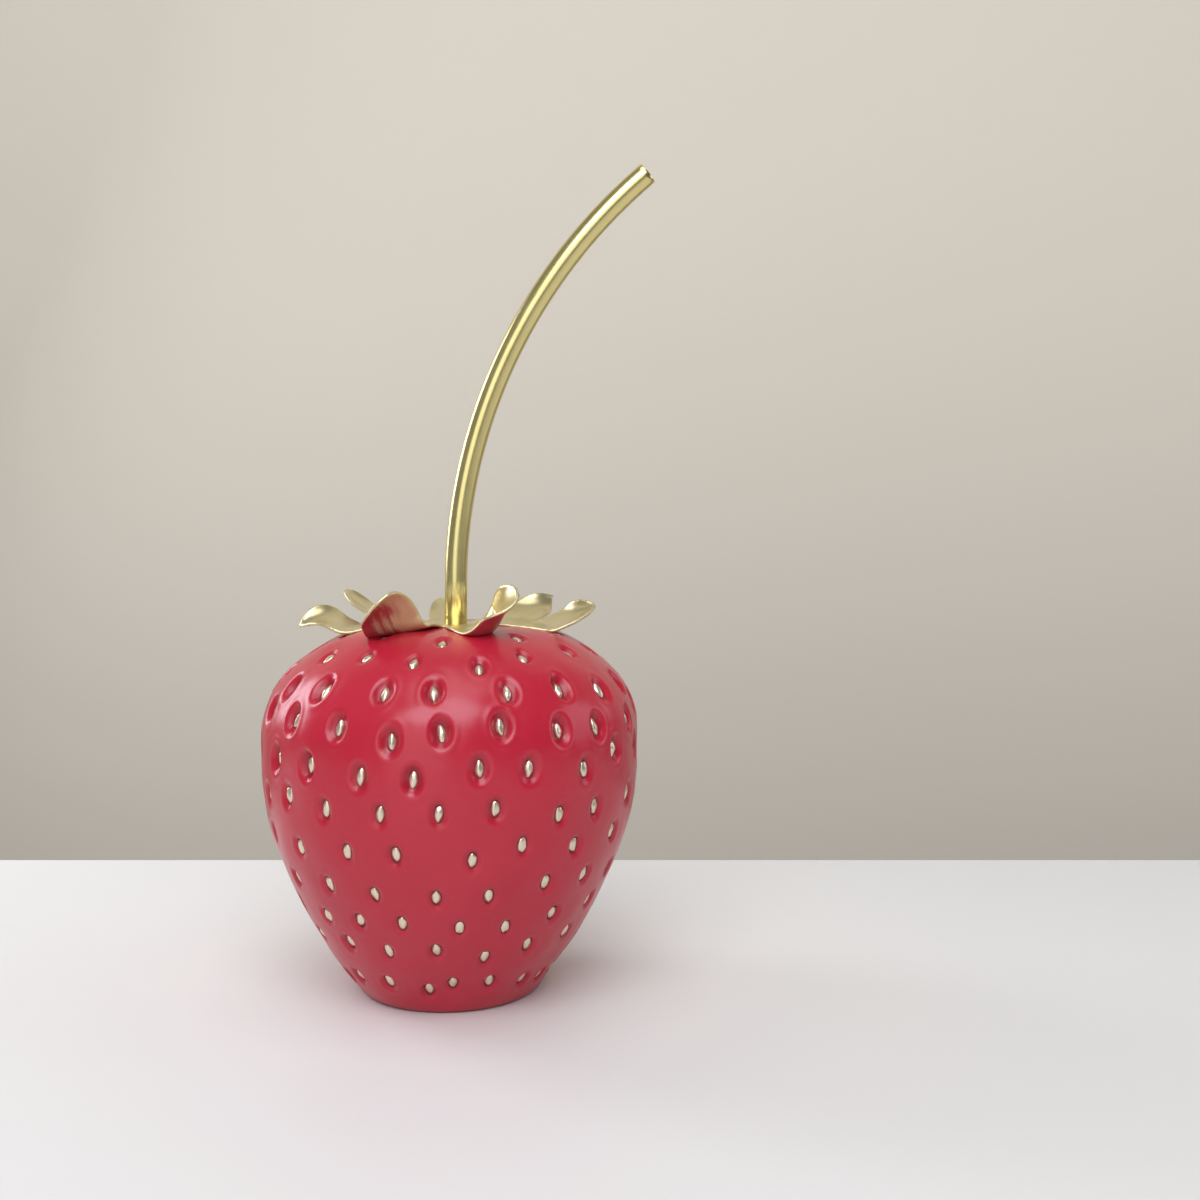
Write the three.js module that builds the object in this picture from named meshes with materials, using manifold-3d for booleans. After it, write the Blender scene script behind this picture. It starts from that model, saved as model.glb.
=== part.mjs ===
import * as THREE from 'three';
import { ConvexHull } from 'three/addons/math/ConvexHull.js';
import { mergeVertices } from 'three/addons/utils/BufferGeometryUtils.js';
import Module from 'manifold-3d';

// A strawberry ornament: a cast berry that stands on its flattened tip, with raised seeds in
// dimples, a crown of seven curling leaves, and a bent metal tube as its stem.
// Millimetres, +Z up. The origin is the centre of the flat foot, and the stem bends toward +X.

const wasm = await Module();
wasm.setup();

// Berry: a turned form, narrow at the foot, widest above the middle, with a dished crown.
const FOOT_FLAT_R = 36.6;
const FOOT_EDGE_Z = 1.2;
const FOOT_TAPER = 0.527;
const TAPER_POWER = 1.88;
const WIDEST_R = 80;
const WIDEST_Z = 100;
const SHOULDER_H = 59;
const SHOULDER_POWER = 3;
const CROWN_RIM_R = 46;
const CROWN_MIDDLE_Z = 154.9;
const LEAN = THREE.MathUtils.degToRad(0.63);
const OUTLINE_STEP = 0.5;

// Seeds stand in rows round the berry, closer together in the rows near the foot. s is the row's
// height along the outline from the foot's edge, and turn is where its first seed is, in degrees.
const SEED_ROWS = [
  { s: 16.7, count: 21, turn: 5 },
  { s: 37.6, count: 18, turn: 10 },
  { s: 52.3, count: 20, turn: 8.9 },
  { s: 67.5, count: 20, turn: -1 },
  { s: 85.4, count: 19, turn: 14.6 },
  { s: 101.5, count: 21, turn: -1.4 },
  { s: 118.3, count: 21, turn: 7.8 },
  { s: 133.6, count: 21, turn: 16.7 },
  { s: 148.7, count: 18, turn: 11.9 },
  { s: 166.2, count: 15, turn: 21 },
  { s: 183.3, count: 9, turn: -5.9 },
];
const SEED_DRAW = 43683;
const SEED_SCATTER = 3;
const DEPTH_SCATTER = 0.35;

// Sizes of a seed and of the dimple that it sits in: on the lower berry, then on the shoulder.
// Between SMALLER_FROM and SMALL_FROM along the outline both get small again toward the crown.
const SEED_HALF_WIDTH = [2, 1.8];
const SEED_HALF_LENGTH = [3.3, 3.6];
const SEED_HEIGHT = [0.9, 1.2];
const DIMPLE_HALF_WIDTH = [3.6, 5];
const DIMPLE_HALF_LENGTH = [5.2, 7.2];
const DIMPLE_DEPTH = [0.9, 2.1];
const SHALLOW_BELOW_Z = 60;
const DEEP_ABOVE_Z = 130;
const SMALLER_FROM = 152;
const SMALL_FROM = 170;
const SMALL_SHARE = 0.9;
const CREST_SHARE = 0.36;
const SEED_SIDES = 6;
const DIMPLE_SIDES = 8;

// Net of the smooth skin between the seeds.
const NET_SPACING = 8;
const NET_CLEARANCE = 2;
const GOLDEN_ANGLE = Math.PI * (3 - Math.sqrt(5));

// Stem: a straight foot, then one bend of constant radius, in a thin-walled tube.
const STEM_R = 4.75;
const STEM_WALL = 1;
const STEM_X = 2.7;
const STEM_LEAN = THREE.MathUtils.degToRad(0.8);
const STEM_FOOT_Z = 126.3;
const STEM_BEND_Z = 175.4;
const STEM_BEND_R = 225;
const STEM_BEND = THREE.MathUtils.degToRad(49.4);
const STEM_SIDES = 20;
const STEM_BORE_SIDES = 12;
const STEM_STEPS = 34;

// Fits: clearance round the stem and under the crown of leaves.
const GAP = 0.3;
const CUTTER_SIDES = 24;

// Crown of leaves: a collar round the stem, and leaves that grow out of it.
const COLLAR_R = 12;
const COLLAR_THICKNESS = 1.5;
const COLLAR_STEPS = 4;
const COLLAR_SIDES = 32;
const LEAF_ROOT_R = 9;
const LEAF_THICKNESS = 1.5;
const LEAF_ROWS = 13;
const LEAF_COLUMNS = 6;
const LEAF_ROOT_WIDTH = 0.5;
const LEAF_TIP_WIDTH = 0.07;
const FLATTEST_CUP = 0.02;

// Leaves, from the one near +X and round toward +Y, in millimetres and degrees. widest is where
// along the blade it is widest, a small tip ends it bluntly, and swerve bends it sideways. From root
// to tip, pitch is the climb, roll turns the blade about its own middle line, and cup curls its edges.
const LEAVES = [
  {
    turn: 8, length: 53, width: 24, widest: 0.56, tip: 0.62, swerve: -11,
    pitch: [-2, -7, 22, 31], roll: [-4, -2, 13, 40], cup: [5, 5, 8, 51],
  },
  {
    turn: 45, length: 52, width: 20, widest: 0.57, tip: 1, swerve: 6,
    pitch: [-6, 4, 22, 21], roll: [-4, 5, 16, 66], cup: [2, 6, 9, 12],
  },
  {
    turn: 100, length: 40, width: 18, widest: 0.51, tip: 0.91, swerve: 11,
    pitch: [5, 10, 14, 19], roll: [-3, -29, -28, 5], cup: [7, 21, 19, 18],
  },
  {
    turn: 147, length: 57, width: 21, widest: 0.55, tip: 0.49, swerve: 0,
    pitch: [3, -4, 23, 46], roll: [4, 17, 12, 5], cup: [8, 8, 11, 27],
  },
  {
    turn: 177, length: 60, width: 29, widest: 0.61, tip: 0.97, swerve: 1,
    pitch: [-5, -9, 23, -29], roll: [3, 17, -5, -38], cup: [7, 3, 0, 64],
  },
  {
    turn: 227, length: 51, width: 24, widest: 0.65, tip: 0.5, swerve: 35,
    pitch: [7, -10, 49, 11], roll: [-4, 14, 33, 46], cup: [1, 2, 5, 2],
  },
  {
    turn: 295, length: 46, width: 31, widest: 0.57, tip: 0.5, swerve: 44,
    pitch: [8, -9, 58, 69], roll: [3, 27, 31, 55], cup: [5, 61, 54, 12],
  },
];

const COLOURS = {
  berry: { color: 0xb93c49, roughness: 0.35, metalness: 0 },
  calyx: { color: 0xb8a26e, roughness: 0.4, metalness: 0.8 },
  stem: { color: 0xb9a45c, roughness: 0.28, metalness: 1 },
};

// ---- Berry ----

function sideRadius(z) {
  return WIDEST_R * (1 - FOOT_TAPER * Math.pow((WIDEST_Z - z) / WIDEST_Z, TAPER_POWER));
}

function shoulderRadius(z) {
  return WIDEST_R * Math.sqrt(1 - Math.pow((z - WIDEST_Z) / SHOULDER_H, SHOULDER_POWER));
}

// Height of the dished crown, from its middle out to the rim, where it meets the shoulder's slope.
const CROWN_RIM_Z =
  WIDEST_Z + SHOULDER_H * Math.cbrt(1 - Math.pow(CROWN_RIM_R / WIDEST_R, 2));
const CROWN_RIM_SLOPE =
  (-SHOULDER_POWER * WIDEST_R * WIDEST_R * Math.pow(CROWN_RIM_Z - WIDEST_Z, SHOULDER_POWER - 1)) /
  (2 * CROWN_RIM_R * Math.pow(SHOULDER_H, SHOULDER_POWER));
const CROWN_DROP = CROWN_MIDDLE_Z - CROWN_RIM_Z;
const CROWN_POWER = -CROWN_RIM_R / (CROWN_RIM_SLOPE * CROWN_DROP);

function crownHeight(r) {
  const t = r / CROWN_RIM_R;
  return CROWN_MIDDLE_Z - CROWN_DROP * Math.pow(t, CROWN_POWER);
}

// The outline from the foot's edge to the middle of the crown, with the length along it, the
// area up to it, and the stretch that a sphere of equal angles needs.
function outline() {
  const corners = [new THREE.Vector2(FOOT_FLAT_R, 0)];
  for (let z = FOOT_EDGE_Z; z < WIDEST_Z; z += OUTLINE_STEP) {
    corners.push(new THREE.Vector2(sideRadius(z), z));
  }
  for (let z = WIDEST_Z; z < CROWN_RIM_Z; z += OUTLINE_STEP) {
    corners.push(new THREE.Vector2(shoulderRadius(z), z));
  }
  for (let r = CROWN_RIM_R; r > 0; r -= OUTLINE_STEP) {
    corners.push(new THREE.Vector2(r, crownHeight(r)));
  }
  let length = 0;
  let area = 0;
  let stretch = 0;
  return corners.map((corner, i) => {
    if (i > 0) {
      const before = corners[i - 1];
      const step = corner.distanceTo(before);
      const middle = (corner.x + before.x) / 2;
      length += step;
      area += 2 * Math.PI * middle * step;
      stretch += step / middle;
    }
    return { r: corner.x, z: corner.y, length, area, stretch };
  });
}

const OUTLINE = outline();
const WIDEST_STRETCH = outlineAt('z', WIDEST_Z).stretch;

// The outline's values where one of them, which grows along it, reaches a given value.
function outlineAt(key, value) {
  let i = 1;
  while (i < OUTLINE.length - 1 && OUTLINE[i][key] < value) i += 1;
  const low = OUTLINE[i - 1];
  const high = OUTLINE[i];
  const t = (value - low[key]) / (high[key] - low[key]);
  const found = {};
  for (const name of Object.keys(low)) {
    found[name] = THREE.MathUtils.lerp(low[name], high[name], t);
  }
  const run = Math.hypot(high.r - low.r, high.z - low.z);
  found.outR = (high.z - low.z) / run;
  found.outZ = (low.r - high.r) / run;
  return found;
}

// Small repeatable draws between -1 and 1.
function makeDraw(seed) {
  let state = seed;
  return () => {
    state = (Math.imul(state, 1664525) + 1013904223) >>> 0;
    return state / 2147483648 - 1;
  };
}

// Every seed's place and size: rows of even steps, each seed a little scattered.
function seedPlaces() {
  const draw = makeDraw(SEED_DRAW);
  return SEED_ROWS.flatMap((row) => Array.from({ length: row.count }, (_, k) => {
    const { r } = outlineAt('length', row.s);
    const s = row.s + SEED_SCATTER * draw();
    const even = THREE.MathUtils.degToRad(row.turn) + (2 * Math.PI * k) / row.count;
    const turn = even + (SEED_SCATTER * draw()) / r;
    const { z } = outlineAt('length', s);
    const nearCrown = THREE.MathUtils.smoothstep(s, SMALLER_FROM, SMALL_FROM);
    const t = THREE.MathUtils.smoothstep(z, SHALLOW_BELOW_Z, DEEP_ABOVE_Z) * (1 - nearCrown);
    const share = THREE.MathUtils.lerp(1, SMALL_SHARE, nearCrown);
    const size = (pair) => THREE.MathUtils.lerp(pair[0], pair[1], t);
    return {
      s,
      turn,
      r,
      width: size(SEED_HALF_WIDTH) * share,
      length: size(SEED_HALF_LENGTH) * share,
      height: size(SEED_HEIGHT) * share,
      dimpleWidth: size(DIMPLE_HALF_WIDTH),
      dimpleLength: size(DIMPLE_HALF_LENGTH),
      depth: size(DIMPLE_DEPTH) * (1 + DEPTH_SCATTER * draw()),
    };
  }));
}

// A point of the berry's skin, and the direction of the same point on a sphere that keeps angles.
function skinPoint(s, turn, lift) {
  const spot = outlineAt('length', s);
  const r = spot.r + lift * spot.outR;
  const z = Math.max(0, spot.z + lift * spot.outZ);
  const place = new THREE.Vector3(
    r * Math.cos(turn) + z * Math.tan(LEAN),
    r * Math.sin(turn),
    z,
  );
  const polar = 2 * Math.atan(Math.exp(WIDEST_STRETCH - spot.stretch));
  const direction = new THREE.Vector3(
    Math.sin(polar) * Math.cos(turn),
    Math.sin(polar) * Math.sin(turn),
    Math.cos(polar),
  );
  return { place, direction };
}

// One seed: the two ends of its crest, a ring where it meets the dimple, and the dimple's rim.
function seedPoints(seed) {
  const ring = (sides, width, length, lift) => Array.from({ length: sides }, (_, k) => {
    const angle = (2 * Math.PI * (k + 0.5)) / sides;
    const across = width * Math.cos(angle);
    return skinPoint(seed.s + length * Math.sin(angle), seed.turn + across / seed.r, lift);
  });
  return [
    ...ring(2, 0, CREST_SHARE * seed.length, seed.height - seed.depth),
    ...ring(SEED_SIDES, seed.width, seed.length, -seed.depth),
    ...ring(DIMPLE_SIDES, seed.dimpleWidth, seed.dimpleLength, 0),
  ];
}

// True where a point of the smooth skin is clear of every dimple.
function isClear(s, turn, r, seeds) {
  return seeds.every((seed) => {
    const across = Math.atan2(Math.sin(turn - seed.turn), Math.cos(turn - seed.turn)) * r;
    const along = s - seed.s;
    const width = seed.dimpleWidth + NET_CLEARANCE;
    const length = seed.dimpleLength + NET_CLEARANCE;
    return Math.hypot(across / width, along / length) > 1;
  });
}

function skinPoints(seeds) {
  const points = seeds.flatMap(seedPoints);
  const total = OUTLINE[OUTLINE.length - 1];
  const ring = Math.round((2 * Math.PI * FOOT_FLAT_R) / NET_SPACING);
  for (let k = 0; k < ring; k += 1) {
    points.push(skinPoint(0, (2 * Math.PI * k) / ring, 0));
  }
  const count = Math.round(total.area / (NET_SPACING * NET_SPACING * Math.sin(Math.PI / 3)));
  for (let i = 0; i < count; i += 1) {
    const spot = outlineAt('area', (total.area * (i + 0.5)) / count);
    const turn = i * GOLDEN_ANGLE;
    if (spot.length > NET_SPACING / 2 && isClear(spot.length, turn, spot.r, seeds)) {
      points.push(skinPoint(spot.length, turn, 0));
    }
  }
  const foot = { place: new THREE.Vector3(0, 0, 0), direction: new THREE.Vector3(0, 0, -1) };
  return [foot, ...points];
}

// The net between the points is the convex hull of their directions.
function berrySkin() {
  const points = skinPoints(seedPlaces());
  const index = new Map(points.map((point, i) => [point.direction, i]));
  const hull = new ConvexHull().setFromPoints(points.map((point) => point.direction));
  const corners = hull.faces.flatMap((face) => {
    const loop = [face.edge, face.edge.next, face.edge.next.next];
    return loop.map((edge) => index.get(edge.head().point));
  });
  const geometry = new THREE.BufferGeometry();
  const places = points.flatMap((point) => point.place.toArray());
  geometry.setAttribute('position', new THREE.Float32BufferAttribute(places, 3));
  geometry.setIndex(corners);
  return geometry;
}

// ---- Joining and cutting ----

function toSolid(geometry) {
  const bare = geometry.clone();
  bare.deleteAttribute('normal');
  bare.deleteAttribute('uv');
  const merged = mergeVertices(bare, 1e-4);
  return new wasm.Manifold(new wasm.Mesh({
    numProp: 3,
    vertProperties: new Float32Array(merged.attributes.position.array),
    triVerts: new Uint32Array(merged.index.array),
  }));
}

function toGeometry(solid) {
  const mesh = solid.getMesh();
  const geometry = new THREE.BufferGeometry();
  geometry.setAttribute('position', new THREE.BufferAttribute(mesh.vertProperties, 3));
  geometry.setIndex(new THREE.BufferAttribute(mesh.triVerts, 1));
  geometry.computeVertexNormals();
  return geometry;
}

function stemX(z) {
  return STEM_X + (z - STEM_FOOT_Z) * Math.tan(STEM_LEAN);
}

// A round cutter along the stem's straight foot, from a height up to the bend.
function stemCutter(fromZ) {
  const height = STEM_BEND_Z - fromZ;
  const cutter = new THREE.CylinderGeometry(STEM_R + GAP, STEM_R + GAP, height, CUTTER_SIDES);
  cutter.rotateX(Math.PI / 2);
  cutter.translate(0, 0, height / 2);
  cutter.rotateY(STEM_LEAN);
  cutter.translate(stemX(fromZ), 0, fromZ);
  return toSolid(cutter);
}

function berryGeometry() {
  return toGeometry(toSolid(berrySkin()).subtract(stemCutter(STEM_FOOT_Z - GAP)));
}

// ---- Stem ----

class StemPath extends THREE.Curve {
  getPoint(t, target = new THREE.Vector3()) {
    const straight = (STEM_BEND_Z - STEM_FOOT_Z) / Math.cos(STEM_LEAN);
    const run = t * (straight + STEM_BEND_R * STEM_BEND);
    const z = STEM_FOOT_Z + Math.min(run, straight) * Math.cos(STEM_LEAN);
    const turned = STEM_LEAN + Math.max(0, run - straight) / STEM_BEND_R;
    return target.set(
      stemX(z) + STEM_BEND_R * (Math.cos(STEM_LEAN) - Math.cos(turned)),
      0,
      z + STEM_BEND_R * (Math.sin(turned) - Math.sin(STEM_LEAN)),
    );
  }
}

function circlePoints(radius, sides) {
  return Array.from({ length: sides }, (_, k) => {
    const angle = (2 * Math.PI * k) / sides;
    return new THREE.Vector2(radius * Math.cos(angle), radius * Math.sin(angle));
  });
}

function stemGeometry() {
  const ring = new THREE.Shape(circlePoints(STEM_R, STEM_SIDES));
  ring.holes.push(new THREE.Path(circlePoints(STEM_R - STEM_WALL, STEM_BORE_SIDES)));
  const tube = new THREE.ExtrudeGeometry(ring, { steps: STEM_STEPS, extrudePath: new StemPath() });
  return toGeometry(toSolid(tube));
}

// ---- Crown of leaves ----

// Height of the berry's top at a place, from its turned outline.
function topHeight(x, y) {
  const r = Math.hypot(x - CROWN_RIM_Z * Math.tan(LEAN), y);
  if (r <= CROWN_RIM_R) return crownHeight(r);
  if (r >= WIDEST_R) return WIDEST_Z;
  return WIDEST_Z + SHOULDER_H * Math.cbrt(1 - Math.pow(r / WIDEST_R, 2));
}

// A smooth value along t from evenly spaced settings.
function along(settings, t) {
  const place = t * (settings.length - 1);
  const i = Math.min(Math.floor(place), settings.length - 2);
  const share = THREE.MathUtils.smoothstep(place - i, 0, 1);
  return THREE.MathUtils.lerp(settings[i], settings[i + 1], share);
}

// Half width of a blade from root to tip, as a share of its widest.
function bladeShape(t, leaf) {
  if (t < leaf.widest) {
    const share = Math.sin((t / leaf.widest) * Math.PI * 0.5);
    return THREE.MathUtils.lerp(LEAF_ROOT_WIDTH, 1, share);
  }
  const past = (t - leaf.widest) / (1 - leaf.widest);
  return Math.max(LEAF_TIP_WIDTH, Math.pow(1 - past * past, leaf.tip));
}

// The blade's middle line: its place and its three directions at each row.
function middleLine(leaf) {
  const rad = THREE.MathUtils.degToRad;
  const turn = rad(leaf.turn);
  const place = new THREE.Vector3(
    stemX(CROWN_MIDDLE_Z) + LEAF_ROOT_R * Math.cos(turn),
    LEAF_ROOT_R * Math.sin(turn),
    crownHeight(LEAF_ROOT_R) + GAP + COLLAR_THICKNESS / 2,
  );
  const rows = [];
  for (let i = 0; i <= LEAF_ROWS; i += 1) {
    const t = i / LEAF_ROWS;
    const heading = turn + rad(leaf.swerve) * t;
    const pitch = rad(along(leaf.pitch, t));
    const roll = rad(along(leaf.roll, t));
    const ahead = new THREE.Vector3(
      Math.cos(heading) * Math.cos(pitch),
      Math.sin(heading) * Math.cos(pitch),
      Math.sin(pitch),
    );
    const side = new THREE.Vector3(-Math.sin(heading), Math.cos(heading), 0);
    side.applyAxisAngle(ahead, roll);
    const up = new THREE.Vector3().crossVectors(ahead, side);
    rows.push({ t, place: place.clone(), side, up });
    place.addScaledVector(ahead, leaf.length / LEAF_ROWS);
  }
  return rows;
}

// One side of the blade, offset from its middle sheet, as a net of rows and columns.
function bladeFace(leaf, offset) {
  const points = [];
  for (const row of middleLine(leaf)) {
    const half = (leaf.width / 2) * bladeShape(row.t, leaf);
    const cup = Math.max(FLATTEST_CUP, THREE.MathUtils.degToRad(along(leaf.cup, row.t)));
    const bend = half / cup;
    const inner = bend - offset;
    for (let j = 0; j <= LEAF_COLUMNS; j += 1) {
      const angle = cup * ((2 * j) / LEAF_COLUMNS - 1);
      const point = row.place.clone();
      point.addScaledVector(row.side, inner * Math.sin(angle));
      point.addScaledVector(row.up, bend - inner * Math.cos(angle));
      const clear = GAP + LEAF_THICKNESS / 2 + offset;
      point.z = Math.max(point.z, topHeight(point.x, point.y) + clear);
      points.push(point);
    }
  }
  return points;
}

function leafGeometry(leaf) {
  const columns = LEAF_COLUMNS + 1;
  const top = bladeFace(leaf, LEAF_THICKNESS / 2);
  const count = top.length;
  const points = [...top, ...bladeFace(leaf, -LEAF_THICKNESS / 2)];
  const corners = [];
  const quad = (a, b, c, d) => corners.push(a, b, c, a, c, d);
  for (let i = 0; i < LEAF_ROWS; i += 1) {
    for (let j = 0; j < LEAF_COLUMNS; j += 1) {
      const a = i * columns + j;
      quad(a, a + columns, a + columns + 1, a + 1);
      corners.push(count + a, count + a + columns + 1, count + a + columns);
      corners.push(count + a, count + a + 1, count + a + columns + 1);
    }
    const left = i * columns;
    const right = left + LEAF_COLUMNS;
    quad(left, count + left, count + left + columns, left + columns);
    quad(right, right + columns, count + right + columns, count + right);
  }
  const end = LEAF_ROWS * columns;
  for (let j = 0; j < LEAF_COLUMNS; j += 1) {
    quad(j, j + 1, count + j + 1, count + j);
    quad(end + j + 1, end + j, count + end + j, count + end + j + 1);
  }
  const geometry = new THREE.BufferGeometry();
  const places = points.flatMap((point) => point.toArray());
  geometry.setAttribute('position', new THREE.Float32BufferAttribute(places, 3));
  geometry.setIndex(corners);
  return geometry;
}

// The collar: a dished disc that follows the crown.
function collarGeometry() {
  const under = [];
  const over = [];
  for (let k = 0; k <= COLLAR_STEPS; k += 1) {
    const r = (COLLAR_R * k) / COLLAR_STEPS;
    const low = crownHeight(r) + GAP;
    under.push(new THREE.Vector2(r, low));
    over.unshift(new THREE.Vector2(r, low + COLLAR_THICKNESS));
  }
  const collar = new THREE.LatheGeometry([...under, ...over], COLLAR_SIDES);
  collar.rotateX(Math.PI / 2);
  collar.translate(stemX(CROWN_MIDDLE_Z), 0, 0);
  return collar;
}

function calyxGeometry() {
  let crown = toSolid(collarGeometry());
  for (const leaf of LEAVES) crown = crown.add(toSolid(leafGeometry(leaf)));
  return toGeometry(crown.subtract(stemCutter(CROWN_MIDDLE_Z - STEM_R)));
}

// ---- Assembly ----

function makeMesh(name, geometry) {
  const mesh = new THREE.Mesh(geometry, new THREE.MeshStandardMaterial(COLOURS[name]));
  mesh.name = name;
  return mesh;
}

const group = new THREE.Group();
group.add(makeMesh('berry', berryGeometry()));
group.add(makeMesh('calyx', calyxGeometry()));
group.add(makeMesh('stem', stemGeometry()));

export default group;
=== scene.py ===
"""A strawberry ornament: a cast and lacquered berry with gilded seeds, a gilded crown of curling
leaves and a bent brass tube for its stem, on a plain pale table in soft studio light."""

import bisect
import math

import bmesh
import bpy
from mathutils import Matrix, Quaternion, Vector, kdtree, noise


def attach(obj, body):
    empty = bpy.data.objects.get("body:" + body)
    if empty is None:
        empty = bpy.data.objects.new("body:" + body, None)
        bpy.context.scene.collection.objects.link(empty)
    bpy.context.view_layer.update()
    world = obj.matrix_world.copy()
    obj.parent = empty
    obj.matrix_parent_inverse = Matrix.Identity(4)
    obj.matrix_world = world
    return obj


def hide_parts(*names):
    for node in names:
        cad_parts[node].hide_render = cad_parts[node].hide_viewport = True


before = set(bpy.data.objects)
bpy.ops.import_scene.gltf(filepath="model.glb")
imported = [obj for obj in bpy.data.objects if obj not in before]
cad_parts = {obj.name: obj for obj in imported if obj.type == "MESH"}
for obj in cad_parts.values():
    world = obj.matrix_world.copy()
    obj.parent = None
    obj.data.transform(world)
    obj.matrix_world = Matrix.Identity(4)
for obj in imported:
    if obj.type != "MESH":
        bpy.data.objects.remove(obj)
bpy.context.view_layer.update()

# The scene is in metres, and the object's own sizes are written in millimetres.
MM = 0.001

# Berry: a turned form that leans a little toward +X.
FOOT_FLAT_R = 36.6
FOOT_EDGE_Z = 1.2
FOOT_TAPER = 0.527
TAPER_POWER = 1.88
WIDEST_R = 80
WIDEST_Z = 100
SHOULDER_H = 59
SHOULDER_POWER = 3
CROWN_RIM_R = 46
CROWN_MIDDLE_Z = 154.9
LEAN = math.radians(0.63)
OUTLINE_STEP = 0.5

# Skin: how fine its net is where it shows, and under the leaves, past a length along the outline.
SKIN_COLUMNS = 432
SKIN_STEP = 1.06
HIDDEN_BEYOND = 198
HIDDEN_STEP = 3.5
SEAM_MERGE = 0.001

# Seeds stand in rows round the berry: length along the outline from the foot's edge, how many, and
# the first one's turn in degrees.
SEED_ROWS = [
    (16.7, 21, 5),
    (37.6, 18, 10),
    (52.3, 20, 8.9),
    (67.5, 20, -1),
    (85.4, 19, 14.6),
    (101.5, 21, -1.4),
    (118.3, 21, 7.8),
    (133.6, 21, 16.7),
    (148.7, 18, 11.9),
    (166.2, 15, 21),
    (183.3, 9, -5.9),
]
SEED_DRAW = 43683
SEED_SCATTER = 3
DEPTH_SCATTER = 0.35

# A seed and its dimple: on the lower berry, then on the shoulder. From one length along the outline
# to another they shrink to the ones near the crown.
SEED_HALF_WIDTH = (2, 1.8)
SEED_HALF_LENGTH = (3.4, 3.7)
SEED_HEIGHT = (0.9, 1.2)
DIMPLE_HALF_WIDTH = (3.6, 4.9)
DIMPLE_HALF_LENGTH = (5.2, 7.2)
DIMPLE_DEPTH = (1.2, 2.3)
SHALLOW_BELOW_Z = 60
DEEP_ABOVE_Z = 130
SMALLER_FROM = 152
SMALL_FROM = 170
SMALL_SHARE = 0.92

# A seed's own form. The cut, the point and the lumps are shares of its half sizes.
SEED_SUNK = 0.4
SEED_CUT = -0.45
SEED_POINT = 0.22
SEED_TILT = math.radians(9)
SEED_VARIETY = 40
SEED_LUMPS = 1.3
SEED_LUMP_DEPTH = 0.22
SEED_SIDES = 16
SEED_RINGS = 10

# Round a seed: the dimple's lip and flat floor, as shares of it, and the wide dent that it sits in.
LIP_HEIGHT = 0.12
LIP_WIDTH = 0.17
DIMPLE_FLOOR = 0.5
DENT_DEPTH = 0.5
DENT_REACH = 8
NEAR_SEEDS = 3

# The skin's own unevenness, and its swell under the leaves.
UNEVEN_DEPTH = 0.9
UNEVEN_SIZE = 30
RIPPLE_DEPTH = 0.3
RIPPLE_SIZE = 14
UNDER_LEAVES = 1.4

# A place within so many of a seed's half sizes can have the painted shade line in the groove round
# the seed.
# Any other place is marked as far from the seeds.
LINE_REACH = 2
FAR_FROM_SEEDS = 6

# Stem: a straight foot, one even bend, and an open end. The foot is drawn from STEM_SHOWN_Z up,
# which is inside the berry, and the bore only as far as can be seen.
STEM_R = 4.75
STEM_WALL = 0.9
STEM_X = 2.7
STEM_LEAN = math.radians(0.8)
STEM_FOOT_Z = 126.3
STEM_SHOWN_Z = 140
STEM_BEND_Z = 175.4
STEM_BEND_R = 225
STEM_BEND = math.radians(49.4)
STEM_SIDES = 64
STEM_BEND_STEPS = 96
STEM_BORE_SHOWN = math.radians(6)
STEM_BORE_STEPS = 8
STEM_RIM_ROUND = 0.25
STEM_RIM_RISE = 0.15

# Crown of leaves.
GAP = 0.3
COLLAR_R = 12
COLLAR_THICKNESS = 1.5
COLLAR_SIDES = 64
LEAF_ROOT_R = 9
LEAF_THICKNESS = 1.5
LEAF_ROOT_WIDTH = 0.5
LEAF_TIP_WIDTH = 0.07
FLATTEST_CUP = 0.02
LEAF_EASE = 0.8
LEAF_ROWS = 48
LEAF_COLUMNS = 20
CROWN_VOXEL = 0.5
SOFTEN_SHARE = 0.5
SOFTEN_ROUNDS = 12

# Leaves, from the one near +X and round toward +Y, in millimetres and degrees. From root to tip,
# pitch is the climb, roll turns the blade about its middle line, and cup curls up its edges.
LEAVES = [
    dict(turn=8, length=53, width=24, widest=0.56, tip=0.62, swerve=-11,
         pitch=(-2, -7, 22, 31), roll=(-4, -2, 13, 40), cup=(5, 5, 8, 51)),
    dict(turn=45, length=52, width=20, widest=0.57, tip=1, swerve=6,
         pitch=(-6, 4, 22, 21), roll=(-4, 5, 16, 66), cup=(2, 6, 9, 12)),
    dict(turn=100, length=40, width=18, widest=0.51, tip=0.91, swerve=11,
         pitch=(5, 10, 14, 19), roll=(-3, -29, -28, 5), cup=(7, 21, 19, 18)),
    dict(turn=147, length=57, width=21, widest=0.55, tip=0.49, swerve=0,
         pitch=(3, -4, 23, 46), roll=(4, 17, 12, 5), cup=(8, 8, 11, 27)),
    dict(turn=177, length=60, width=29, widest=0.61, tip=0.97, swerve=1,
         pitch=(-5, -9, 23, -29), roll=(3, 17, -5, -38), cup=(7, 3, 0, 64)),
    dict(turn=227, length=51, width=24, widest=0.65, tip=0.5, swerve=35,
         pitch=(7, -10, 49, 11), roll=(-4, 14, 33, 46), cup=(1, 2, 5, 2)),
    dict(turn=295, length=46, width=31, widest=0.57, tip=0.5, swerve=44,
         pitch=(8, -9, 58, 69), roll=(3, 27, 31, 55), cup=(5, 61, 54, 12)),
]

# Camera: a 45 mm lens on a 36 mm square sensor, a little above the crown.
CAMERA_PLACE = (64.6, -637.1, 214.8)
CAMERA_PITCH = math.radians(4.31)
CAMERA_LENS = 45
CAMERA_SENSOR = 36
CAMERA_NEAR = 10

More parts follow.
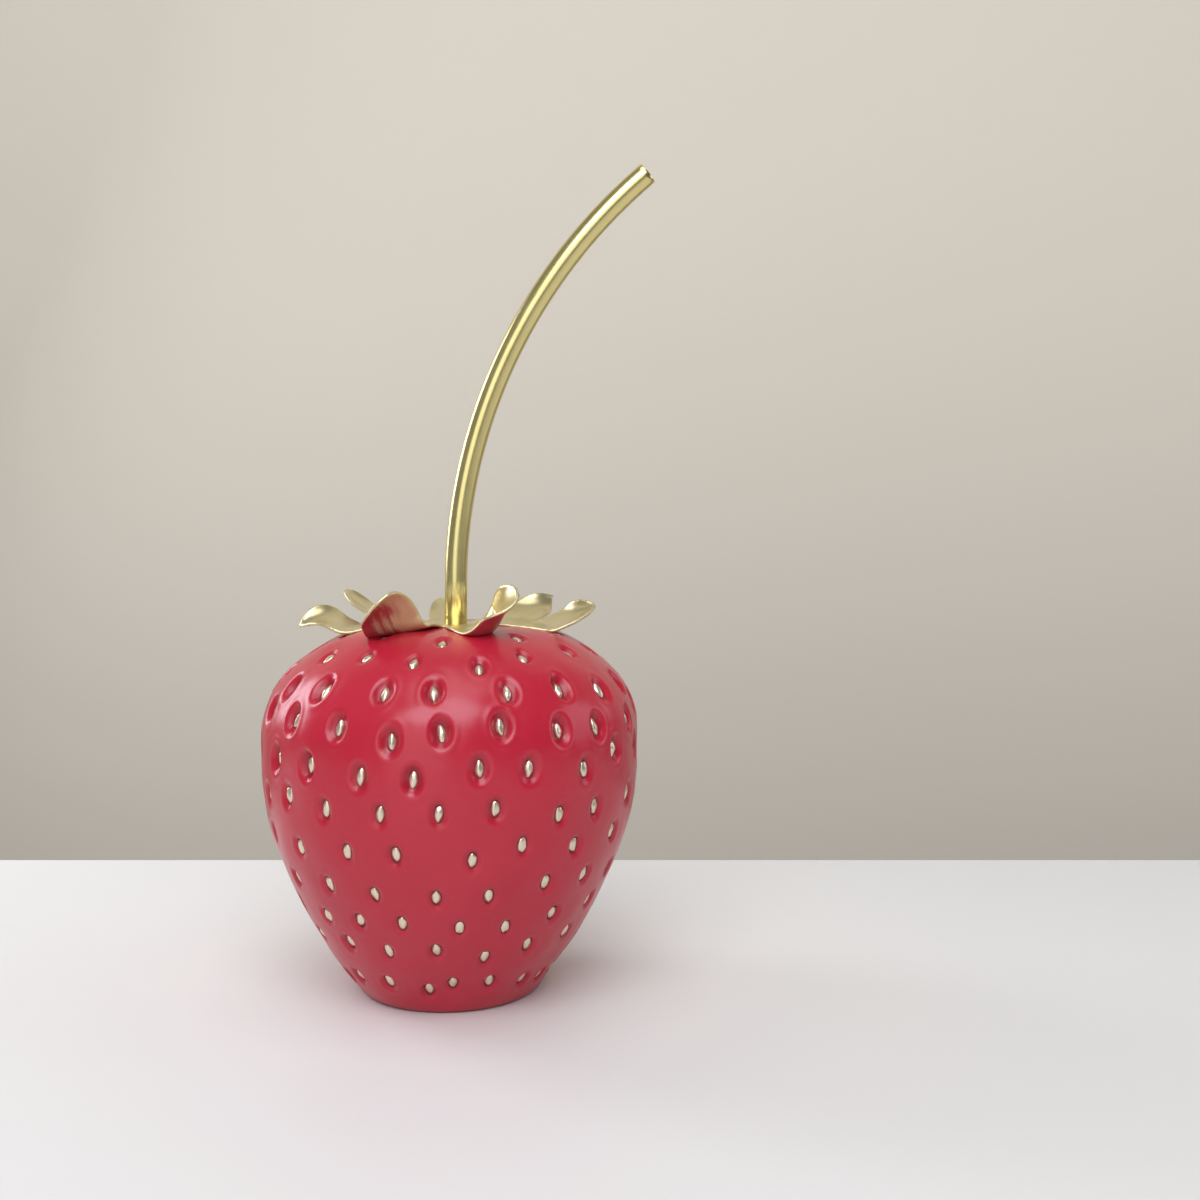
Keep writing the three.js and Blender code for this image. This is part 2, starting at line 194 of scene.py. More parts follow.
# Table and wall.
TABLE_HALF_WIDTH = 1500
TABLE_FRONT_Y = -1800
TABLE_BACK_Y = 215
TABLE_THICKNESS = 30
WALL_HALF_WIDTH = 3000
WALL_Y = 800
WALL_THICKNESS = 20
WALL_FOOT_Z = -900
WALL_TOP_Z = 2600

# Lamps, aimed at the berry's upper half: azimuth (0 in front, 90 toward +X) and elevation in
# degrees, distance and size in metres, watts, and colour.
LAMP_AIM_Z = 120
DAYLIGHT = "f4f4ff"
WHITE = "ffffff"
LAMPS = [
    ("front_window", -2, 47, 1.6, (1.5, 1.1), 19, DAYLIGHT),
    ("left_window", -114, 22, 0.8, (0.3, 0.55), 2.5, DAYLIGHT),
    ("right_window", 92, 18, 1.4, (0.9, 0.7), 2.6, DAYLIGHT),
    ("room", -12, 12, 3, (2.4, 2), 14, WHITE),
    ("ceiling", 0, 80, 2, (1.4, 1.2), 8, WHITE),
]

# The room's own light: its colour, its strength, and how much more comes along +X, +Y and +Z.
ROOM_COLOUR = "e6e8ea"
ROOM_STRENGTH = 0.17
ROOM_SLOPE = (-0.1, -0.06, 0.12)


# ---- Small helpers ----

def lerp(a, b, t):
    return a + (b - a) * t


def smoothstep(value, low, high):
    t = min(1, max(0, (value - low) / (high - low)))
    return t * t * (3 - 2 * t)


def srgb(code):
    """A linear colour from an sRGB hex code."""
    parts = [int(code[i:i + 2], 16) / 255 for i in (0, 2, 4)]
    return tuple(c / 12.92 if c <= 0.04045 else ((c + 0.055) / 1.055) ** 2.4 for c in parts) + (1,)


def make_draw(seed):
    """Repeatable draws between -1 and 1, by a linear congruential rule."""
    state = seed

    def draw():
        nonlocal state
        state = (state * 1664525 + 1013904223) % 2 ** 32
        return state / 2 ** 31 - 1
    return draw


def finish_mesh(bm, name, material=None, smooth=True):
    """Turns a bmesh in millimetres into an object in metres."""
    bmesh.ops.scale(bm, vec=(MM, MM, MM), verts=bm.verts)
    mesh = bpy.data.meshes.new(name)
    bm.to_mesh(mesh)
    bm.free()
    if material:
        mesh.materials.append(material)
    for polygon in mesh.polygons:
        polygon.use_smooth = smooth
    made = bpy.data.objects.new(name, mesh)
    bpy.context.scene.collection.objects.link(made)
    return made


# ---- Shader helpers ----

def fill(tree, made, inputs):
    """Gives a node's inputs their values, or links them to other sockets."""
    for key, value in inputs.items():
        if isinstance(value, bpy.types.NodeSocket):
            tree.links.new(value, made.inputs[key])
        else:
            made.inputs[key].default_value = value


def node(tree, kind, inputs, **settings):
    """Adds a shader node with its settings, and fills its inputs."""
    made = tree.nodes.new(kind)
    for key, value in settings.items():
        setattr(made, key, value)
    fill(tree, made, inputs)
    return made


def new_material(name):
    """A material with its Principled shader, and the shader's tree."""
    material = bpy.data.materials.new(name)
    material.use_nodes = True
    tree = material.node_tree
    return material, tree, tree.nodes["Principled BSDF"]


def own_place(tree):
    """The place of a point in the object's own metres."""
    return node(tree, "ShaderNodeTexCoord", {}).outputs["Object"]


def painted(tree, name):
    """The outputs that read one of the values painted on the mesh's vertices."""
    return node(tree, "ShaderNodeAttribute", {}, attribute_name=name).outputs


def calculate(tree, operation, *values):
    made = node(tree, "ShaderNodeMath", dict(enumerate(values)), operation=operation)
    return made.outputs["Value"]


def cloud(tree, place, scale, detail, roughness=0.5):
    """Soft random patches between 0 and 1."""
    return node(tree, "ShaderNodeTexNoise", {
        "Vector": place, "Scale": scale, "Detail": detail, "Roughness": roughness,
    }).outputs["Fac"]


def ramp(tree, value, low=0, high=1, to_low=0, to_high=1, shape="LINEAR"):
    """Maps one span onto another, and stays at the ends beyond it."""
    return node(tree, "ShaderNodeMapRange", {
        "Value": value, "From Min": low, "From Max": high, "To Min": to_low, "To Max": to_high,
    }, interpolation_type=shape).outputs["Result"]


def mix(tree, share, first, second):
    """A colour between two others, each an sRGB hex code or a socket."""
    first, second = (srgb(end) if isinstance(end, str) else end for end in (first, second))
    made = node(tree, "ShaderNodeMix", {0: share, 6: first, 7: second}, data_type="RGBA")
    return made.outputs[2]


def bump(tree, height, strength, distance, **normal):
    """A direction that leans as if the surface rose by so many metres."""
    return node(tree, "ShaderNodeBump", {
        "Height": height, "Strength": strength, "Distance": distance, **normal,
    }).outputs["Normal"]


# ---- Camera ----

def place_camera():
    data = bpy.data.cameras.new("camera")
    data.lens = CAMERA_LENS
    data.sensor_width = CAMERA_SENSOR
    data.clip_start = CAMERA_NEAR * MM
    camera = bpy.data.objects.new("camera", data)
    camera.location = Vector(CAMERA_PLACE) * MM
    camera.rotation_euler = (math.pi / 2 - CAMERA_PITCH, 0, 0)
    bpy.context.scene.collection.objects.link(camera)
    bpy.context.scene.camera = camera


# ---- Berry ----

def side_radius(z):
    return WIDEST_R * (1 - FOOT_TAPER * ((WIDEST_Z - z) / WIDEST_Z) ** TAPER_POWER)


def shoulder_radius(z):
    return WIDEST_R * math.sqrt(1 - ((z - WIDEST_Z) / SHOULDER_H) ** SHOULDER_POWER)


def shoulder_height(r):
    return WIDEST_Z + SHOULDER_H * (1 - (r / WIDEST_R) ** 2) ** (1 / SHOULDER_POWER)


# The crown's low dome meets the shoulder at its rim, and slopes there as the shoulder does.
CROWN_RIM_Z = shoulder_height(CROWN_RIM_R)
CROWN_RIM_SLOPE = (
    -SHOULDER_POWER * WIDEST_R ** 2 * (CROWN_RIM_Z - WIDEST_Z) ** (SHOULDER_POWER - 1)
    / (2 * CROWN_RIM_R * SHOULDER_H ** SHOULDER_POWER)
)
CROWN_DROP = CROWN_MIDDLE_Z - CROWN_RIM_Z
CROWN_POWER = -CROWN_RIM_R / (CROWN_RIM_SLOPE * CROWN_DROP)


def crown_height(r):
    return CROWN_MIDDLE_Z - CROWN_DROP * (r / CROWN_RIM_R) ** CROWN_POWER


def steps(start, stop, step):
    """Evenly stepped values from start, up or down, and short of stop."""
    return [start + i * step for i in range(math.ceil((stop - start) / step))]


def outline():
    """Rows of (length along it, radius, height) from the foot's edge to the crown's middle."""
    corners = [(FOOT_FLAT_R, 0)]
    corners += [(side_radius(z), z) for z in steps(FOOT_EDGE_Z, WIDEST_Z, OUTLINE_STEP)]
    corners += [(shoulder_radius(z), z) for z in steps(WIDEST_Z, CROWN_RIM_Z, OUTLINE_STEP)]
    corners += [(r, crown_height(r)) for r in steps(CROWN_RIM_R, 0, -OUTLINE_STEP)]
    rows = [(0, *corners[0])]
    for before, corner in zip(corners, corners[1:]):
        rows.append((rows[-1][0] + math.dist(before, corner), *corner))
    return rows


OUTLINE = outline()
OUTLINE_LENGTHS = [row[0] for row in OUTLINE]


def outline_at(length):
    """Radius, height and outward direction at a length along the outline."""
    i = min(max(bisect.bisect_left(OUTLINE_LENGTHS, length) - 1, 0), len(OUTLINE) - 2)
    (low, low_r, low_z), (high, high_r, high_z) = OUTLINE[i], OUTLINE[i + 1]
    run = high - low
    t = (length - low) / run
    return (lerp(low_r, high_r, t), lerp(low_z, high_z, t),
            (high_z - low_z) / run, (low_r - high_r) / run)


def seed_places():
    """Every seed's place and size: rows of even steps, each seed a little scattered."""
    draw = make_draw(SEED_DRAW)
    seeds = []
    for length, count, first in SEED_ROWS:
        r = outline_at(length)[0]
        for k in range(count):
            s = length + SEED_SCATTER * draw()
            turn = math.radians(first) + 2 * math.pi * k / count + SEED_SCATTER * draw() / r
            near_crown = smoothstep(s, SMALLER_FROM, SMALL_FROM)
            t = smoothstep(outline_at(s)[1], SHALLOW_BELOW_Z, DEEP_ABOVE_Z) * (1 - near_crown)
            share = lerp(1, SMALL_SHARE, near_crown)
            seeds.append(dict(
                s=s, turn=turn, r=r, width=lerp(*SEED_HALF_WIDTH, t) * share,
                length=lerp(*SEED_HALF_LENGTH, t) * share, height=lerp(*SEED_HEIGHT, t) * share,
                dimple_width=lerp(*DIMPLE_HALF_WIDTH, t),
                dimple_length=lerp(*DIMPLE_HALF_LENGTH, t),
                depth=lerp(*DIMPLE_DEPTH, t) * (1 + DEPTH_SCATTER * draw()),
            ))
    return seeds


def leaning(point):
    """The place of an upright berry's point in the leaning one."""
    return Vector((point[0] + point[2] * math.tan(LEAN), point[1], point[2]))


def under_leaves(s):
    """How far the skin swells toward the crown, where the leaves are fused to it."""
    return UNDER_LEAVES * smoothstep(s, SMALLER_FROM, HIDDEN_BEYOND - DENT_REACH)


def skin_frame(s, turn, lift=0):
    """Place, and the directions outward, up along the skin and across it."""
    r, z, out_r, out_z = outline_at(s)
    c, d = math.cos(turn), math.sin(turn)
    out = Vector((out_r * c, out_r * d, out_z))
    place = leaning((r * c, r * d, z)) + out * lift
    return place, out, Vector((-out_z * c, -out_z * d, out_r)), Vector((-d, c, 0))


def bowl(reach):
    """Depth of a dimple, from 1 over its floor to 0 at its rim."""
    return 1 - smoothstep(reach, DIMPLE_FLOOR, 1)


def lip(reach):
    """The low ridge that the modelling tool pushed up round a dimple."""
    return math.exp(-((reach - 1 - LIP_WIDTH) / LIP_WIDTH) ** 2)


def seed_tree(seeds):
    """A search tree of the seeds' places on the leaning berry."""
    tree = kdtree.KDTree(len(seeds))
    for i, seed in enumerate(seeds):
        tree.insert(skin_frame(seed["s"], seed["turn"])[0], i)
    tree.balance()
    return tree


def relief(seeds, tree, s, turn):
    """How far the skin stands off the turned form at a place, how deep in a dimple it is, and where
    it is from the middle of the nearest seed, in that seed's half sizes."""
    place = skin_frame(s, turn)[0]
    lift, dimple_shade = 0, 0
    # The nearest seed comes last, so the loop leaves its values behind.
    for _, i, _ in reversed(tree.find_n(place, NEAR_SEEDS)):
        seed = seeds[i]
        across = math.remainder(turn - seed["turn"], 2 * math.pi) * seed["r"]
        along = s - seed["s"]
        reach = math.hypot(across / seed["dimple_width"], along / seed["dimple_length"])
        lift += seed["depth"] * (LIP_HEIGHT * lip(reach) - bowl(reach))
        lift -= DENT_DEPTH * math.exp(-(across ** 2 + along ** 2) / DENT_REACH ** 2)
        # Painted shade: the deeper into its dimple a place is, the darker its lacquer is painted.
        dimple_shade = max(dimple_shade, bowl(reach) * seed["depth"] / DIMPLE_DEPTH[1])
    uneven = UNEVEN_DEPTH * noise.noise(place / UNEVEN_SIZE)
    uneven += RIPPLE_DEPTH * noise.noise(place / RIPPLE_SIZE)
    lift += uneven * smoothstep(s, 0, DENT_REACH) * (1 - smoothstep(s, SMALLER_FROM, SMALL_FROM))
    lift *= 1 - smoothstep(s, HIDDEN_BEYOND - DENT_REACH, HIDDEN_BEYOND)
    return lift + under_leaves(s), dimple_shade, (across / seed["width"], along / seed["length"])


def make_skin(seeds, tree, lacquer):
    """The outline turned round, then each point of it moved out or in by the relief."""
    bm = bmesh.new()
    along_layer = bm.verts.layers.float.new("along")
    lengths = steps(0, HIDDEN_BEYOND, SKIN_STEP) + steps(HIDDEN_BEYOND, OUTLINE[-1][0], HIDDEN_STEP)
    rail = [bm.verts.new((0, 0, 0))]
    for s in lengths:
        r, z, _, _ = outline_at(s)
        vert = bm.verts.new((r, 0, z))
        vert[along_layer] = s
        rail.append(vert)
    rail.append(bm.verts.new((0, 0, CROWN_MIDDLE_Z)))
    rail[0][along_layer] = -FOOT_FLAT_R
    rail[-1][along_layer] = OUTLINE[-1][0]
    for low, high in zip(rail, rail[1:]):
        bm.edges.new((low, high))
    bmesh.ops.spin(bm, geom=bm.verts[:] + bm.edges[:], cent=(0, 0, 0), axis=(0, 0, 1),
                   angle=2 * math.pi, steps=SKIN_COLUMNS, use_merge=True)
    bmesh.ops.remove_doubles(bm, verts=bm.verts, dist=SEAM_MERGE)
    bmesh.ops.recalc_face_normals(bm, faces=bm.faces)

    offset_layer = bm.verts.layers.float_vector.new("seed_offset")
    # The bowl value carries how deep in a dimple each point is, for the painted shade there.
    dimple_shade_layer = bm.verts.layers.float.new("bowl")
    for vert in bm.verts:
        s = vert[along_layer]
        if s <= 0:
            # The flat foot has no relief and no seeds.
            vert[offset_layer] = (0, 0, FAR_FROM_SEEDS)
            vert.co = leaning(vert.co)
            continue
        turn = math.atan2(vert.co.y, vert.co.x)
        lift, dimple_shade, (u, v) = relief(seeds, tree, s, turn)
        vert.co = skin_frame(s, turn, lift)[0]
        # Near a seed, the offset marks where the painted shade line of its groove can fall.
        vert[offset_layer] = (u, v, 0 if math.hypot(u, v) < LINE_REACH else FAR_FROM_SEEDS)
        vert[dimple_shade_layer] = dimple_shade
    return finish_mesh(bm, "berry_skin", lacquer)


def make_seeds(seeds, tree, gilt):
    """Lumpy grains with a point at each end, cut flat below and sunk into their dimples."""
    draw = make_draw(SEED_DRAW + 1)
    # noise_vector is seeded by the clock unless it is given a seed.
    noise.seed_set(SEED_DRAW)
    bm = bmesh.new()
    rise_layer = bm.verts.layers.float.new("rise")
    for seed in seeds:
        floor = relief(seeds, tree, seed["s"], seed["turn"])[0]
        place, out, up, across = skin_frame(seed["s"], seed["turn"], floor)
        deep = seed["height"] + SEED_SUNK
        turned = Matrix((across, up, out)).transposed().to_4x4()
        size = Matrix.Diagonal((seed["width"], seed["length"], deep, 1))
        sunk = Matrix.Translation((0, 0, -SEED_SUNK))
        tilt = Matrix.Rotation(SEED_TILT * draw(), 4, "Z")
        own = Vector((draw(), draw(), draw())) * SEED_VARIETY
        ball = bmesh.ops.create_uvsphere(bm, u_segments=SEED_SIDES, v_segments=SEED_RINGS, radius=1)
        below = [vert for vert in ball["verts"] if vert.co.z < SEED_CUT]
        upper = [vert for vert in ball["verts"] if vert.co.z >= SEED_CUT]
        for vert in upper:
            vert[rise_layer] = vert.co.z
            end = abs(vert.co.y)
            vert.co.x *= 1 - SEED_POINT * end * end
            vert.co += noise.noise_vector(vert.co * SEED_LUMPS + own) * SEED_LUMP_DEPTH
        bmesh.ops.transform(bm, matrix=Matrix.Translation(place) @ turned @ tilt @ sunk @ size,
                            verts=upper)
        bmesh.ops.delete(bm, geom=below, context="VERTS")
    bmesh.ops.holes_fill(bm, edges=bm.edges, sides=SEED_SIDES)
    bmesh.ops.recalc_face_normals(bm, faces=bm.faces)
    return finish_mesh(bm, "seeds", gilt)


# ---- Stem ----

def stem_x(z):
    """Where the middle of the stem's straight foot is at a height."""
    return STEM_X + (z - STEM_FOOT_Z) * math.tan(STEM_LEAN)


def verts_of(edges):
    return list(dict.fromkeys(vert for edge in edges for vert in edge.verts))


def edges_among(geometry):
    return [part for part in geometry if isinstance(part, bmesh.types.BMEdge)]


def make_stem(brass):
    """A ring drawn up the straight foot, turned round the bend, and turned back inside."""
    bm = bmesh.new()
    shown_from = Vector((stem_x(STEM_SHOWN_Z), 0, STEM_SHOWN_Z))
    bend_start = Vector((stem_x(STEM_BEND_Z), 0, STEM_BEND_Z))
    bend_centre = bend_start + Vector((math.cos(STEM_LEAN), 0, -math.sin(STEM_LEAN))) * STEM_BEND_R
    ahead = Quaternion((0, 1, 0), STEM_BEND + STEM_LEAN) @ Vector((0, 0, 1))

    def pull(ring, by):
        made = edges_among(bmesh.ops.extrude_edge_only(bm, edges=ring)["geom"])
        bmesh.ops.translate(bm, vec=by, verts=verts_of(made))
        return made

    def sweep(ring, angle, count):
        return edges_among(bmesh.ops.spin(
            bm, geom=verts_of(ring) + ring, cent=bend_centre, axis=(0, 1, 0),
            angle=angle, steps=count)["geom_last"])

    def step_in(ring, radius, push):
        """Draws the ring on along the tube's end, and to another radius."""
        made = pull(ring, ahead * push)
        verts = verts_of(made)
        middle = sum((vert.co for vert in verts), Vector()) / len(verts)
        for vert in verts:
            vert.co = middle + (vert.co - middle).normalized() * radius
        return made

    place = Matrix.Translation(shown_from) @ Matrix.Rotation(STEM_LEAN, 4, "Y")
    bmesh.ops.create_circle(bm, segments=STEM_SIDES, radius=STEM_R, matrix=place)
    ring = pull(bm.edges[:], bend_start - shown_from)
    ring = sweep(ring, STEM_BEND, STEM_BEND_STEPS)
    ring = step_in(ring, STEM_R - STEM_RIM_ROUND, STEM_RIM_RISE)
    ring = step_in(ring, STEM_R - STEM_WALL + STEM_RIM_ROUND, 0)
    ring = step_in(ring, STEM_R - STEM_WALL, -STEM_RIM_RISE)
    sweep(ring, -STEM_BORE_SHOWN, STEM_BORE_STEPS)
    bmesh.ops.holes_fill(bm, edges=bm.edges, sides=STEM_SIDES)
    bmesh.ops.recalc_face_normals(bm, faces=bm.faces)
    return finish_mesh(bm, "stem_tube", brass)


# ---- Crown of leaves ----

def top_height(x, y):
    """Height of the berry's top at a place."""
    r = math.hypot(x - CROWN_RIM_Z * math.tan(LEAN), y)
    if r <= CROWN_RIM_R:
        return crown_height(r)
    return shoulder_height(min(r, WIDEST_R))


def setting_at(settings, t):
    """A smooth value along t from evenly spaced settings."""
    place = t * (len(settings) - 1)
    i = min(int(place), len(settings) - 2)
    return lerp(settings[i], settings[i + 1], smoothstep(place - i, 0, 1))


def blade_shape(t, leaf):
    """Half width of a blade from root to tip, as a share of its widest."""
    if t < leaf["widest"]:
        return lerp(LEAF_ROOT_WIDTH, 1, math.sin(t / leaf["widest"] * math.pi / 2))
    past = (t - leaf["widest"]) / (1 - leaf["widest"])
    return max(LEAF_TIP_WIDTH, (1 - past * past) ** leaf["tip"])


def middle_line(leaf):
    """The blade's middle line: its place, and its directions sideways and up, at each row."""
    turn = math.radians(leaf["turn"])
    place = Vector((
        stem_x(CROWN_MIDDLE_Z) + LEAF_ROOT_R * math.cos(turn),
        LEAF_ROOT_R * math.sin(turn),
        crown_height(LEAF_ROOT_R) + GAP + COLLAR_THICKNESS / 2,
    ))
    rows = []
    for i in range(LEAF_ROWS + 1):
        t = i / LEAF_ROWS
        heading = turn + math.radians(leaf["swerve"]) * t
        pitch = math.radians(setting_at(leaf["pitch"], t))
        roll = math.radians(setting_at(leaf["roll"], t))
        ahead = Vector((math.cos(heading) * math.cos(pitch),
                        math.sin(heading) * math.cos(pitch), math.sin(pitch)))
        side = Quaternion(ahead, roll) @ Vector((-math.sin(heading), math.cos(heading), 0))
        rows.append((place.copy(), side, ahead.cross(side)))
        place += ahead * leaf["length"] / LEAF_ROWS
    return rows


def leaf_sheet(bm, leaf, blade_layer):
    """The blade's middle sheet: a flat grid bent along the middle line and cupped across it, and
    held off the berry by a smooth clamp."""
    rows = middle_line(leaf)
    grid = bmesh.ops.create_grid(bm, x_segments=LEAF_COLUMNS, y_segments=LEAF_ROWS, size=0.5)
    for vert in grid["verts"]:
        across, t = 2 * vert.co.x, vert.co.y + 0.5
        place, side, up = rows[round(t * LEAF_ROWS)]
        half = leaf["width"] / 2 * blade_shape(t, leaf)
        cup = max(FLATTEST_CUP, math.radians(setting_at(leaf["cup"], t)))
        bend, arc = half / cup, cup * across
        vert.co = place + side * bend * math.sin(arc) + up * bend * (1 - math.cos(arc))
        lowest = top_height(vert.co.x, vert.co.y) + GAP + LEAF_THICKNESS / 2
        clear = vert.co.z - lowest
        vert.co.z = lowest + (clear + math.hypot(clear, LEAF_EASE)) / 2
        vert[blade_layer] = (across * half, t * leaf["length"], leaf["turn"])


def thicken_and_fuse(sheets):
    """One closed mesh with soft edges out of thin sheets, which are used up."""
    thicken = sheets.modifiers.new("thickness", "SOLIDIFY")
    thicken.thickness = LEAF_THICKNESS * MM
    thicken.offset = 0
    fuse = sheets.modifiers.new("fuse", "REMESH")
    fuse.mode = "VOXEL"
    fuse.voxel_size = CROWN_VOXEL * MM
    soften = sheets.modifiers.new("soften", "SMOOTH")
    soften.factor = SOFTEN_SHARE
    soften.iterations = SOFTEN_ROUNDS
    fused = bpy.data.meshes.new_from_object(
        sheets.evaluated_get(bpy.context.evaluated_depsgraph_get()))
    bpy.data.objects.remove(sheets)
    return fused


def make_crown(gold):
    """Leaves and collar as one casting. Each point of it carries the place on its blade that is
    nearest, and whether it is on the blade's top or its underside."""
    bm = bmesh.new()
    blade_layer = bm.verts.layers.float_vector.new("blade")
    for leaf in LEAVES:
        leaf_sheet(bm, leaf, blade_layer)
    bmesh.ops.reverse_faces(bm, faces=bm.faces)
    collar = bmesh.ops.create_circle(bm, cap_ends=True, segments=COLLAR_SIDES, radius=COLLAR_R)
    bmesh.ops.translate(bm, verts=collar["verts"], vec=(
        stem_x(CROWN_MIDDLE_Z), 0, CROWN_MIDDLE_Z + GAP + COLLAR_THICKNESS / 2))
    bm.normal_update()
    sheet = [(vert.co.copy(), vert.normal.copy(), Vector(vert[blade_layer])) for vert in bm.verts]
    tree = kdtree.KDTree(len(sheet))
    for i, (place, _, _) in enumerate(sheet):
        tree.insert(place, i)
    tree.balance()
    fused = thicken_and_fuse(finish_mesh(bm, "crown_sheets"))

    bm = bmesh.new()
    bm.from_mesh(fused)
    bpy.data.meshes.remove(fused)
    bmesh.ops.scale(bm, vec=(1 / MM, 1 / MM, 1 / MM), verts=bm.verts)
    bm.normal_update()
    blade_layer = bm.verts.layers.float_vector.new("blade")
    side_layer = bm.verts.layers.float.new("top_side")
    for vert in bm.verts:
        _, normal, blade = sheet[tree.find(vert.co)[1]]
        vert[blade_layer] = blade
        vert[side_layer] = 0.5 + 0.5 * max(-1, min(1, vert.normal.dot(normal)))
    return finish_mesh(bm, "leaf_crown", gold)


# ---- Finishes ----

def lacquer_finish():
    """Satin-gloss strawberry lacquer, sprayed over a resin casting: an even deep pink-red, with
    painted shade darkening the inside of the dimples, and a thin maroon line of painted shade in
    the groove where each gilded seed meets it."""
    material, tree, shader = new_material("strawberry_lacquer")
    place = own_place(tree)
    from_seed = node(tree, "ShaderNodeVectorMath", {
        0: painted(tree, "seed_offset")["Vector"],
    }, operation="LENGTH").outputs["Value"]
    # Painted shade: a thin dark maroon line round each seed, standing in for the shade in the
    # groove where the seed meets the skin.
    line = ramp(tree, from_seed, low=1.12, high=1.03, shape="SMOOTHSTEP")
    patches = cloud(tree, place, scale=45, detail=3)
    sprayed = mix(tree, patches, "b11a30", "bb2037")
    # Painted shade: the lacquer is painted darker with the depth of each dimple, through the bowl
    # value.
    dimple_shade = mix(tree, painted(tree, "bowl")["Fac"], sprayed, "9a1026")
    swell = bump(tree, patches, strength=0.25, distance=0.0006)
    grain = cloud(tree, place, scale=260, detail=2)
    peel = bump(tree, grain, strength=0.12, distance=0.0002, Normal=swell)
    fill(tree, shader, {
        "Base Color": mix(tree, line, dimple_shade, "7c1020"),
        "Roughness": ramp(tree, line, to_low=0.28, to_high=0.75),
        "Normal": peel,
        "IOR": 1.5,
        "Specular IOR Level": 0.52,
    })
    return material


def seed_finish():
    """Champagne gilt, dabbed on each raised seed by hand, with red left showing at its base."""
    material, tree, shader = new_material("champagne_gilt")
    dab_share = 0.5
    most_metal = 0.85
    dabs = cloud(tree, own_place(tree), scale=900, detail=2)
    level = calculate(tree, "MULTIPLY_ADD", dabs, dab_share, painted(tree, "rise")["Fac"])
    gilt = ramp(tree, level, low=0.16, high=0.34)
    fill(tree, shader, {
        "Base Color": mix(tree, gilt, "b04846", "e4d8c0"),
        "Metallic": calculate(tree, "MULTIPLY", gilt, most_metal),
        "Roughness": 0.3,
    })
    return material


def leaf_finish():
    """Champagne-gold metallic paint, brushed over red resin: solid on top and along the rims, and
    dragged thinly over the undersides so that the red shows between the strokes."""
    stroke_scale = (0.9, 0.05, 1)
    more_each_mm_across = 0.045
    more_on_top = 2.6
    material, tree, shader = new_material("brushed_gold_paint")
    blade = painted(tree, "blade")["Vector"]
    top_side = painted(tree, "top_side")["Fac"]
    drag = node(tree, "ShaderNodeVectorMath", {
        0: blade, 1: stroke_scale,
    }, operation="MULTIPLY").outputs["Vector"]
    strokes = cloud(tree, drag, scale=0.8, detail=4, roughness=0.6)
    patches = cloud(tree, own_place(tree), scale=90, detail=1)
    across = node(tree, "ShaderNodeSeparateXYZ", {0: blade}).outputs["X"]
    both = calculate(tree, "ADD", strokes, patches)
    edge = calculate(tree, "MULTIPLY_ADD", across, more_each_mm_across, both)
    level = calculate(tree, "MULTIPLY_ADD", top_side, more_on_top, edge)
    gold = ramp(tree, level, low=0.72, high=1.28, shape="SMOOTHSTEP")
    sheen = ramp(tree, top_side, to_low=0.5, to_high=0.9)
    fill(tree, shader, {
        "Base Color": mix(tree, gold, "a83c40", mix(tree, strokes, "cbbe8e", "ddd1a4")),
        "Metallic": calculate(tree, "MULTIPLY", gold, sheen),
        "Roughness": ramp(tree, patches, to_low=0.27, to_high=0.33),
        "Normal": bump(tree, patches, strength=0.1, distance=0.0008),
    })
    return material


def stem_finish():
    """Satin brass-plated tube, with faint broad patches in its plating."""
    material, tree, shader = new_material("satin_brass")
    patches = cloud(tree, own_place(tree), scale=110, detail=1)
    fill(tree, shader, {
        "Base Color": mix(tree, patches, "e0d08c", "eadc9c"),
        "Roughness": ramp(tree, patches, to_low=0.22, to_high=0.27),
        "Metallic": 1,
    })
    return material


# ---- Stage ----

def plain_finish(name, code, roughness):
    material, tree, shader = new_material(name)
    fill(tree, shader, {"Base Color": srgb(code), "Roughness": roughness})
    return material


def slab(name, low, high, material):
    bm = bmesh.new()
    bmesh.ops.create_cube(bm, size=1)
    low, high = Vector(low), Vector(high)
    bmesh.ops.scale(bm, vec=high - low, verts=bm.verts)
    bmesh.ops.translate(bm, vec=(high + low) / 2, verts=bm.verts)
    finish_mesh(bm, name, material, smooth=False)


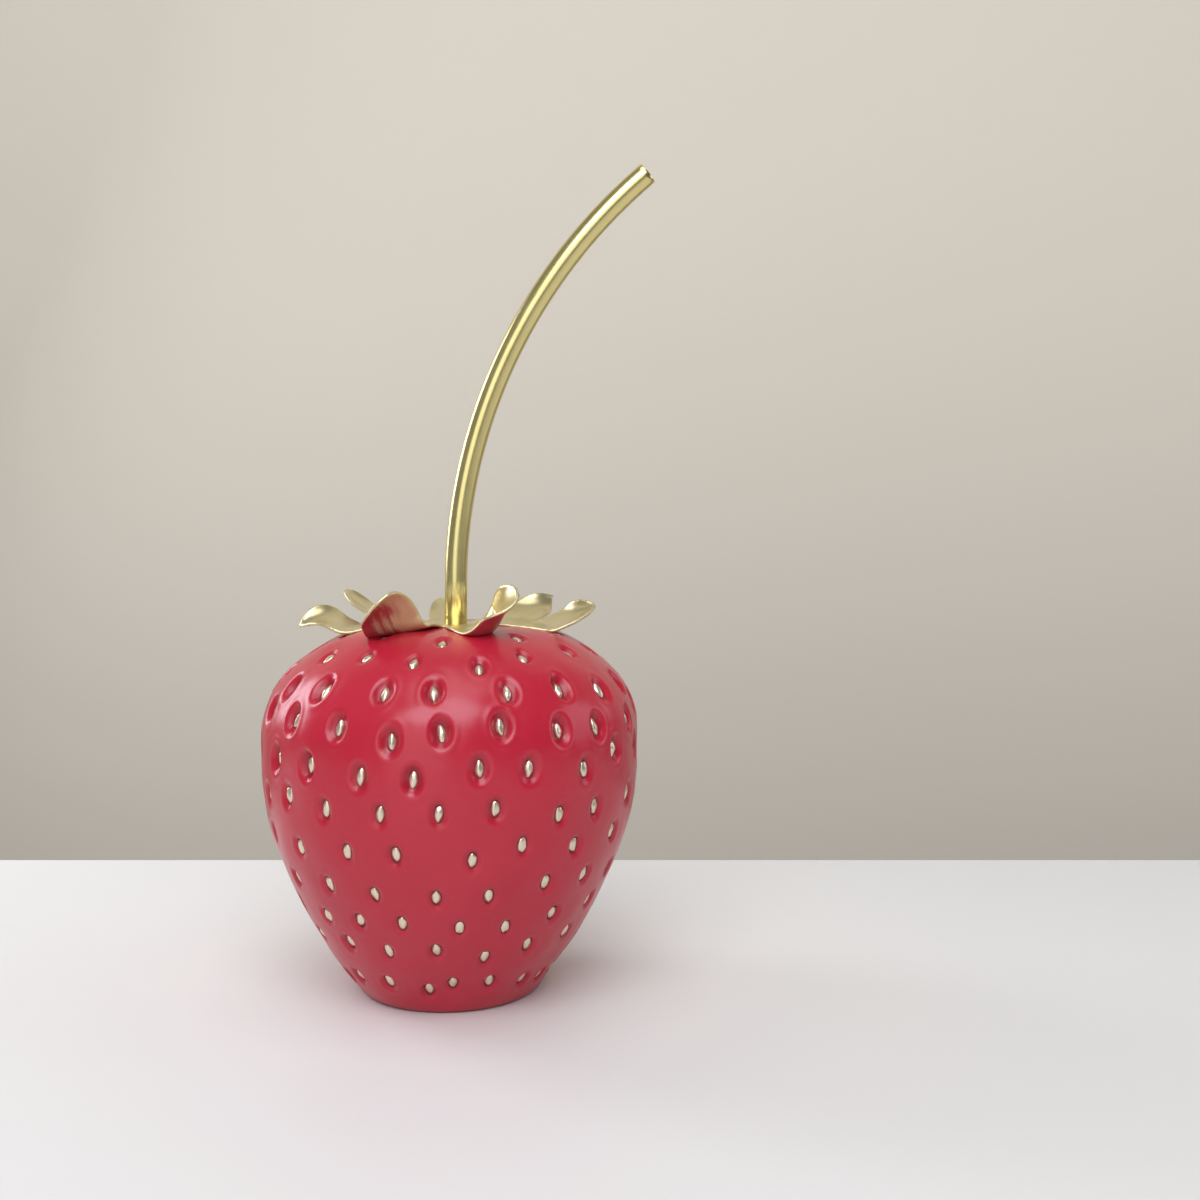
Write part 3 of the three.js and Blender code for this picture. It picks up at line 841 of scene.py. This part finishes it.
def make_stage():
    slab("table_top",
         (-TABLE_HALF_WIDTH, TABLE_FRONT_Y, -TABLE_THICKNESS),
         (TABLE_HALF_WIDTH, TABLE_BACK_Y, 0),
         plain_finish("white_table", "e0e0dc", 0.5))
    slab("wall",
         (-WALL_HALF_WIDTH, WALL_Y, WALL_FOOT_Z),
         (WALL_HALF_WIDTH, WALL_Y + WALL_THICKNESS, WALL_TOP_Z),
         plain_finish("pale_wall", "e2dac9", 0.9))


def soft_light(name, azimuth, elevation, distance, size, watts, code):
    data = bpy.data.lights.new(name, "AREA")
    data.shape = "ELLIPSE"
    data.size, data.size_y = size
    data.energy = watts
    data.color = srgb(code)[:3]
    lamp = bpy.data.objects.new(name, data)
    a, e = math.radians(azimuth), math.radians(elevation)
    way = Vector((math.sin(a) * math.cos(e), -math.cos(a) * math.cos(e), math.sin(e)))
    lamp.location = Vector((0, 0, LAMP_AIM_Z)) * MM + way * distance
    lamp.rotation_euler = way.to_track_quat("Z", "Y").to_euler()
    bpy.context.scene.collection.objects.link(lamp)


def make_light():
    world = bpy.data.worlds.new("room")
    world.use_nodes = True
    tree = world.node_tree
    slope = node(tree, "ShaderNodeVectorMath", {
        0: node(tree, "ShaderNodeTexCoord", {}).outputs["Generated"], 1: ROOM_SLOPE,
    }, operation="DOT_PRODUCT").outputs["Value"]
    fill(tree, tree.nodes["Background"], {
        "Color": srgb(ROOM_COLOUR), "Strength": calculate(tree, "ADD", slope, ROOM_STRENGTH),
    })
    bpy.context.scene.world = world
    for lamp in LAMPS:
        soft_light(*lamp)
    bpy.context.scene.view_settings.view_transform = "Standard"


# ---- Assembly ----

place_camera()
seeds = seed_places()
tree = seed_tree(seeds)
skin = make_skin(seeds, tree, lacquer_finish())
grains = make_seeds(seeds, tree, seed_finish())
crown = make_crown(leaf_finish())
stem = make_stem(stem_finish())

for piece, cad_node, slot in (
    (skin, "berry", "berry_lacquer"),
    (grains, "berry", "gold_paint"),
    (crown, "calyx", "gold_paint"),
    (stem, "stem", "satin_brass"),
):
    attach(piece, "root")
    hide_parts(cad_node)

make_stage()
make_light()
